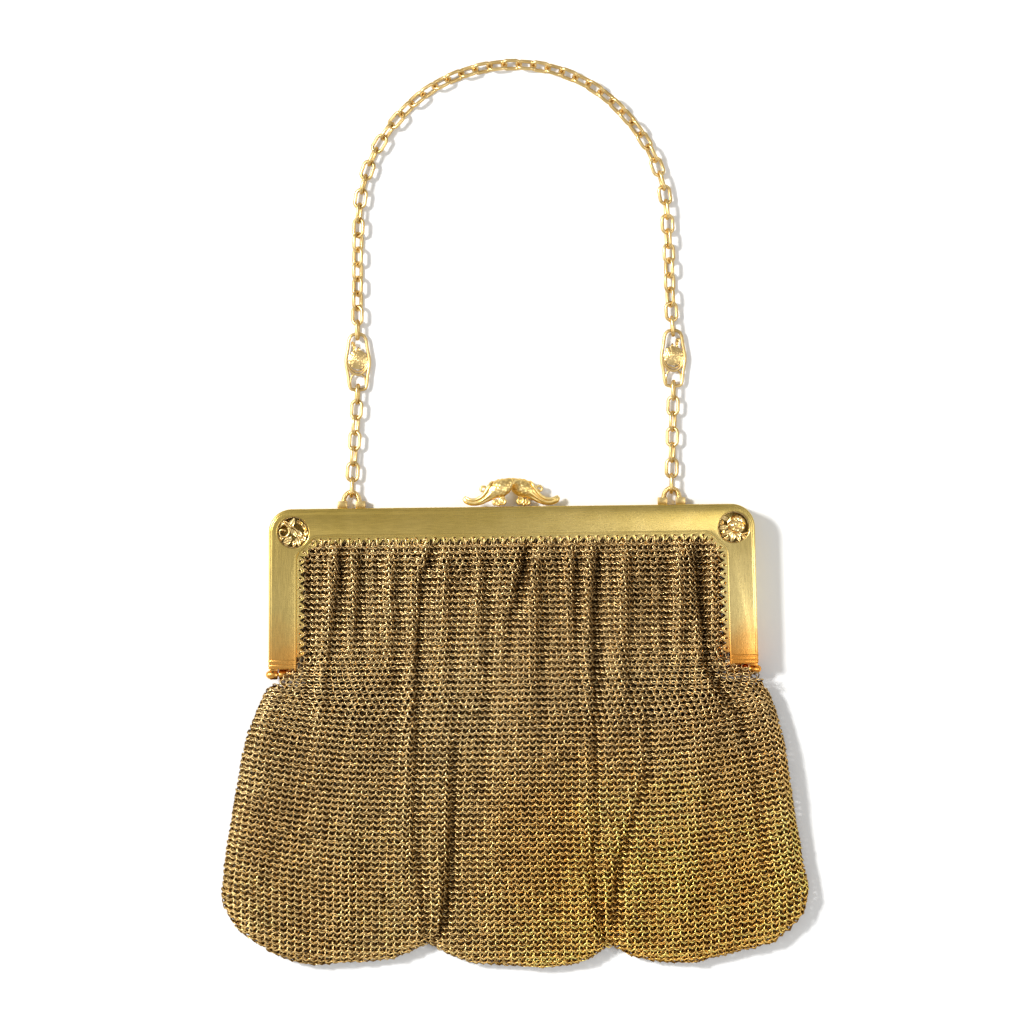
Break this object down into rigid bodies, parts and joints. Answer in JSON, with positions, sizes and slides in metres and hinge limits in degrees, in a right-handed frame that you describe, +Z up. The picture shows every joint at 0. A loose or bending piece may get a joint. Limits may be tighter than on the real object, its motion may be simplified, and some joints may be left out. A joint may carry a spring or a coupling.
{
  "type": "metal mesh purse",
  "caption": "Evening purse of gold ring mesh on a hinged channel frame with round pierced corner windows, a kiss clasp and a chain handle, lying on its back.",
  "frame": {"origin": "centre of the bounding box on the surface that the purse lies on", "axes": "+X to the purse's own right-hand side in the picture, +Y from the bag's lower edge to the top of the chain handle, +Z up from the surface, out of the purse's front"},
  "size_m": [0.1522, 0.236, 0.009],
  "materials": {
    "frame_gold": "satin brushed gold, gone coppery near the ends of the legs",
    "ornament_gold": "cast, bright on the high places and brown in the recesses",
    "clasp_gold": "cast and polished, warm yellow",
    "chain_gold": "polished pale gold wire",
    "mesh_gold": "antiqued gold rings, dark between them"
  },
  "bodies": {
    "root": {"front_frame": "frame_gold", "back_frame": "frame_gold", "roundel_left": "ornament_gold", "roundel_right": "ornament_gold", "clasp_left": "clasp_gold", "clasp_right": "clasp_gold", "hinge_pin_left": "frame_gold", "hinge_pin_right": "frame_gold", "chain_eye_left": "ornament_gold", "chain_eye_right": "ornament_gold", "chain_lower_left": "chain_gold", "chain_lower_right": "chain_gold", "rose_link_left": "chain_gold", "rose_link_right": "chain_gold", "chain_upper": "chain_gold", "mesh_bag": "mesh_gold"}
  },
  "joints": []
}
